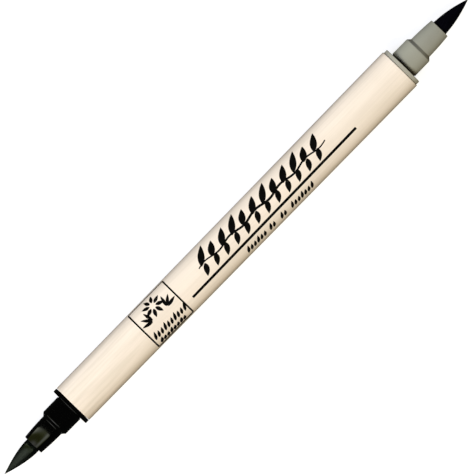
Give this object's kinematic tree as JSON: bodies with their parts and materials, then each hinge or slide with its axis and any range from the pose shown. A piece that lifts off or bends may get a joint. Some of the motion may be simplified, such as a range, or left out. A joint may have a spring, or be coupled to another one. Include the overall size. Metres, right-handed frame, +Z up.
{
  "type": "calligraphy marker",
  "caption": "Double-ended calligraphy brush marker lying on its side, with an ivory barrel, a stepped section and soft brush tip at each end, and both caps pulled off in line.",
  "frame": {"origin": "on the surface that the marker lies on, below the middle of the barrel", "axes": "+X along the marker from the black end to the grey end, +Y to its side, +Z up"},
  "size_m": [0.2232, 0.0114, 0.0114],
  "materials": {
    "barrel_ivory": "satin ivory moulded plastic",
    "dark_moulding": "polished black moulded plastic",
    "light_moulding": "satin warm grey moulded plastic",
    "dark_brush": "fine nylon filaments, ink-soaked, charcoal",
    "light_brush": "fine nylon filaments, ink-soaked, near black",
    "core_felt": "pressed felt",
    "dark_ink_fibre": "ink-soaked polyester fibre",
    "light_ink_fibre": "ink-soaked polyester fibre",
    "clear_film": "clear plastic film",
    "white_plastic": "natural white moulded plastic"
  },
  "bodies": {
    "marker": {"barrel": "barrel_ivory", "divider_plug": "white_plastic", "dark_section": "dark_moulding", "dark_brush_root": "dark_brush", "dark_feed_core": "core_felt", "dark_core_bush": "white_plastic", "dark_reservoir": "dark_ink_fibre", "dark_reservoir_sleeve": "clear_film", "light_section": "light_moulding", "light_brush_root": "light_brush", "light_feed_core": "core_felt", "light_core_bush": "white_plastic", "light_reservoir": "light_ink_fibre", "light_reservoir_sleeve": "clear_film"},
    "dark_brush": {"dark_brush_tip": "dark_brush"},
    "light_brush": {"light_brush_tip": "light_brush"},
    "dark_cap": {"dark_cap": "dark_moulding", "dark_cap_liner": "white_plastic"},
    "light_cap": {"light_cap": "light_moulding", "light_cap_liner": "white_plastic"}
  },
  "joints": [
    {"name": "dark_cap_slide", "type": "slide", "parent": "marker", "child": "dark_cap", "axis": [1, 0, 0], "range_m": [0, 0.02865]},
    {"name": "light_cap_slide", "type": "slide", "parent": "marker", "child": "light_cap", "axis": [-1, 0, 0], "range_m": [0, 0.02865]},
    {"name": "dark_brush_bend", "type": "hinge", "parent": "marker", "child": "dark_brush", "pos_m": [-0.06984, 0, 0.00569], "axis": [0, 1, 0], "range_deg": [-12, 12], "stiffness_Nm_per_rad": 0.007},
    {"name": "light_brush_bend", "type": "hinge", "parent": "marker", "child": "light_brush", "pos_m": [0.06984, 0, 0.00569], "axis": [0, -1, 0], "range_deg": [-12, 12], "stiffness_Nm_per_rad": 0.007}
  ]
}
